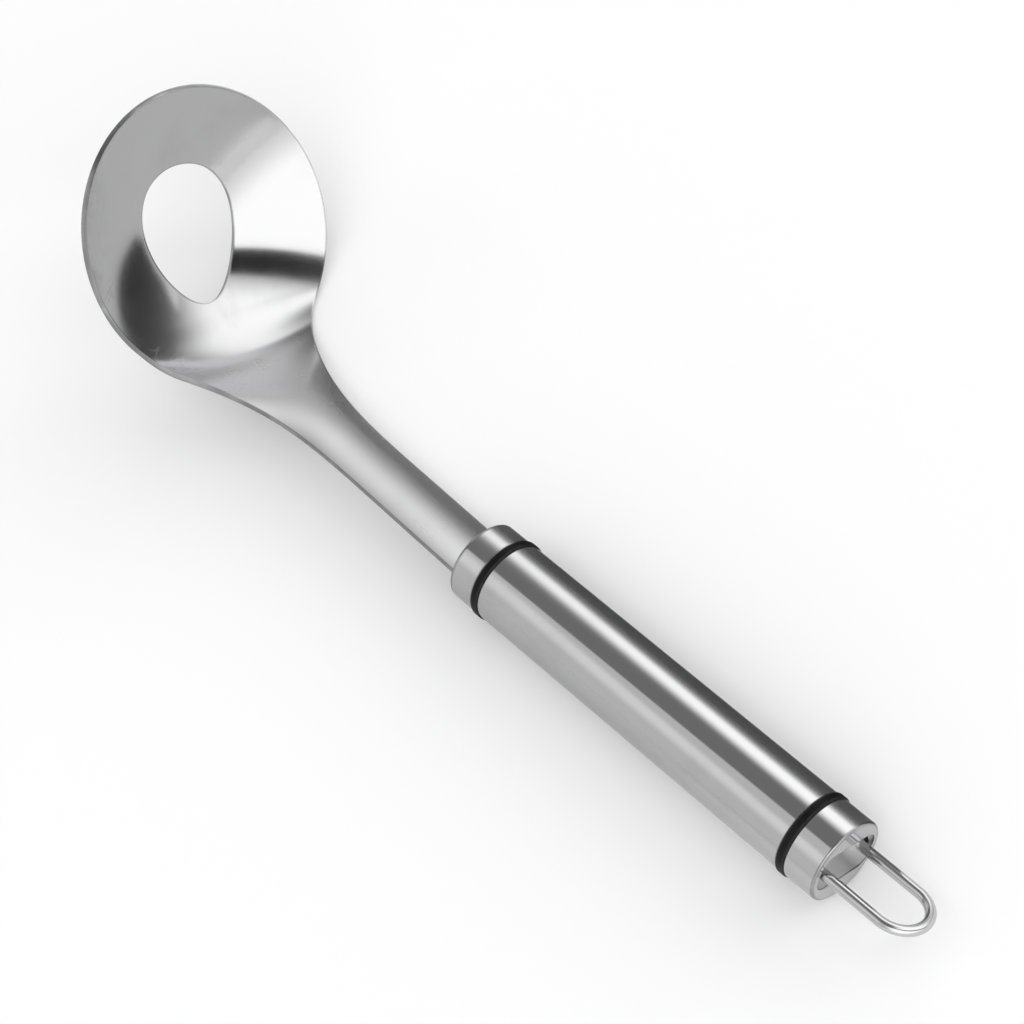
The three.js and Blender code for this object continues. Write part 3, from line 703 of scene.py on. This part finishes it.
IMAGE_WIDTH, FOCAL_PIXELS, SENSOR = 1024, 2400, 36
CAMERA_EYE = Vector((0.24702, -0.08486, 0.42724))
CAMERA_AIM = Vector((-0.00037, -0.00409, 0.02))
CAMERA_ROLL = -29.902
camera_data = bpy.data.cameras.new("camera")
camera_data.sensor_width = SENSOR
camera_data.lens = FOCAL_PIXELS / IMAGE_WIDTH * SENSOR
camera_data.clip_end = 20
camera = bpy.data.objects.new("camera", camera_data)
scene.collection.objects.link(camera)
aimed = (CAMERA_AIM - CAMERA_EYE).to_track_quat("-Z", "Y").to_matrix().to_4x4()
rolled = Matrix.Rotation(math.radians(CAMERA_ROLL), 4, "Z")
camera.matrix_world = Matrix.Translation(CAMERA_EYE) @ aimed @ rolled
scene.camera = camera

# Floor, and flags seen only in reflections, which paint shade and dark surroundings into the metal

def stage_sheet(name, corners, colour, roughness):
    """A flat sheet of the studio, its corners in millimetres: its object, node tree and shader."""
    mesh = bpy.data.meshes.new(name)
    mesh.from_pydata((np.array(corners) * MM).tolist(), [], [tuple(range(len(corners)))])
    sheet = bpy.data.objects.new(name, mesh)
    scene.collection.objects.link(sheet)
    paint, tree, shader = new_finish(name)
    shader.inputs["Base Color"].default_value = (colour, colour, colour, 1)
    shader.inputs["Roughness"].default_value = roughness
    mesh.materials.append(paint)
    return sheet, tree, shader


def flag(name, corners, colour, axis, full, faint, least=0.0):
    """Dark or grey sheet beside the tool, hidden from the camera, from diffuse light and from shadows, so
    that it
    is a painted reflection alone: painted shade seen in the metal. It shows from its front, and fades
    along one axis from full to its least."""
    sheet, tree, shader = stage_sheet(name, corners, colour, 1.0)
    sheet.visible_camera = sheet.visible_diffuse = sheet.visible_shadow = False
    place = add(tree, "SeparateXYZ", {"Vector": add(tree, "TexCoord").outputs["Object"]})
    values = {"Value": place.outputs[axis], "From Min": faint * MM, "From Max": full * MM, "To Min": least}
    fade = add(tree, "MapRange", values).outputs["Result"]
    front = calc(tree, "SUBTRACT", 1.0, add(tree, "NewGeometry").outputs["Backfacing"])
    plug(tree, calc(tree, "MULTIPLY", fade, front), shader.inputs["Alpha"])


def standing(start, end, height, lift=0.5):
    """Corners of an upright sheet between two floor points."""
    return [(*start, lift), (*end, lift), (*end, height), (*start, height)]


def lying(points, lift):
    """Corners of a sheet lying just above the floor."""
    return [(*point, lift) for point in points]


FLOOR_PLAN = [(-3000, -3000), (3000, -3000), (3000, 3000), (-3000, 3000)]
# Plans of two sheets seen only in reflections: a dark mat beside the bowl and a grey sheet over the floor,
# painted reflections.
BOWL_DARK_REFLECTION_PLAN = [(-98, 35), (-84, 43), (-75, 48), (-66, 52), (-58, 59), (-10, 150),
                  (1100, 2900), (-400, 2900), (-130, 60)]
GREY_REFLECTION_PLAN = [(-160, 60), (-160, -90), (-1600, -2900), (130, -2900), (130, 60)]
stage_sheet("floor", lying(FLOOR_PLAN, lift=0), colour=0.9, roughness=0.9)
# Painted shadow: these two flags stand in for the tool's own shadow on the floor beside the handle and stem,
# seen in the metal's reflections alone.
flag("handle_painted_shadow_flag", standing((-10, 1), (102, 1), height=21.5), colour=0.25, axis="Z", full=15, faint=21.5)
flag("stem_painted_shadow_flag", standing((-82, 9), (-4, 1), height=13), colour=0.34, axis="Z", full=6, faint=13)
# Painted reflections: a dark mat for the bowl and a grey sheet over the floor darken what the metal reflects,
# in reflections alone.
flag("bowl_painted_dark_reflection", lying(BOWL_DARK_REFLECTION_PLAN, lift=0.6), colour=0.02, axis="Y", full=60, faint=450, least=0.75)
flag("grey_painted_reflection", lying(GREY_REFLECTION_PLAN, lift=0.3), colour=0.64, axis="X", full=30, faint=130)

# Studio light: soft panels painted over each other on the world. Each has an azimuth and a half width,
# a low and a high end with their slants, soft edges at the sides, low and high end, and a brightness.

PANEL_INPUTS = ("Azimuth", "Half Width", "Low", "High", "Low Slant", "High Slant",
                "Side Edge", "Low Edge", "High Edge")
PANELS = (
    ("far_wall", (-112, 51, -90, 75, 0, 0, 3, 1, 4), 0.76),
    ("far_wall_glow", (-130, 36, 24, 58, 0, 0, 10, 18, 10), 1.05),
    ("side_wall", (125, 60, -90, 58, 0, 0, 20, 1, 20), 0.45),
    ("near_wall", (150, 35, -90, 40, 0, 0, 16, 1, 25), 0.7),
    ("side_softbox", (75, 75, -6, 66, -0.17, 0.22, 36, 27, 24), 1.7),
    ("end_softbox", (-5, 75, -90, 75, 0, 0, 35, 1, 20), 1.75),
    ("softbox_edge", (0, 80, 66, 132, 1.43, 2, 1, 1, 34), 0.6),
    ("softbox_gap", (0, 80, 63, 107, 1.43, 2, 1, 1.5, 2), 0.02),
    ("horizon", (-30, 80, -90, 14, 0, 0, 30, 1, 14), 1.15),
)
ROOM_LIGHT = 0.24


def soft_panel_group():
    """Mask of one panel: 1 inside a span of azimuth and a slanted span of elevation, in degrees."""
    group, given, result = effect(
        "soft_panel", {"Direction": "Vector", **{name: "Float" for name in PANEL_INPUTS}}, {"Mask": "Float"})
    turn = calc(group, "RADIANS", calc(group, "MULTIPLY", given["Azimuth"], -1.0))
    faced = add(group, "VectorRotate", {"Vector": given["Direction"], "Angle": turn}, rotation_type="Z_AXIS")
    parts = add(group, "SeparateXYZ", {"Vector": faced.outputs[0]}).outputs
    azimuth = calc(group, "DEGREES", calc(group, "ARCTAN2", parts["Y"], parts["X"]))
    elevation = calc(group, "DEGREES", calc(group, "ARCSINE", parts["Z"]))
    low_side = calc(group, "MULTIPLY_ADD", azimuth, given["Low Slant"], elevation)
    high_side = calc(group, "MULTIPLY_ADD", azimuth, given["High Slant"], elevation)
    inner = calc(group, "SUBTRACT", given["Half Width"], given["Side Edge"])
    across = ramp(group, calc(group, "ABSOLUTE", azimuth), given["Half Width"], inner)
    above = ramp(group, low_side, given["Low"], calc(group, "ADD", given["Low"], given["Low Edge"]))
    below = ramp(group, high_side, given["High"], calc(group, "SUBTRACT", given["High"], given["High Edge"]))
    plug(group, calc(group, "MULTIPLY", calc(group, "MULTIPLY", across, above), below), result["Mask"])
    return group


world = bpy.data.worlds.new("studio")
scene.world = world
world.use_nodes = True
studio = world.node_tree
soft_panel = soft_panel_group()
direction = add(studio, "TexCoord").outputs["Generated"]
level = ROOM_LIGHT
for name, values, bright in PANELS:
    panel = use(studio, soft_panel, {"Direction": direction, **dict(zip(PANEL_INPUTS, values))})
    panel["Mask"].node.label = name
    level = add(studio, "Mix", {"Factor": panel["Mask"], "A": level, "B": bright}).outputs["Result"]
studio.nodes["Background"].inputs["Color"].default_value = (1, 1, 1, 1)
plug(studio, level, studio.nodes["Background"].inputs["Strength"])

LAMP_SIZE, LAMP_HEIGHT, LAMP_POWER = 1.6, 1.4, 6
lamp_data = bpy.data.lights.new("overhead_softbox", "AREA")
lamp_data.shape = "SQUARE"
lamp_data.size = LAMP_SIZE
lamp_data.energy = LAMP_POWER
lamp = bpy.data.objects.new("overhead_softbox", lamp_data)
lamp.location = (0, 0, LAMP_HEIGHT)
lamp.visible_glossy = False
scene.collection.objects.link(lamp)
scene.view_settings.view_transform = "Standard"
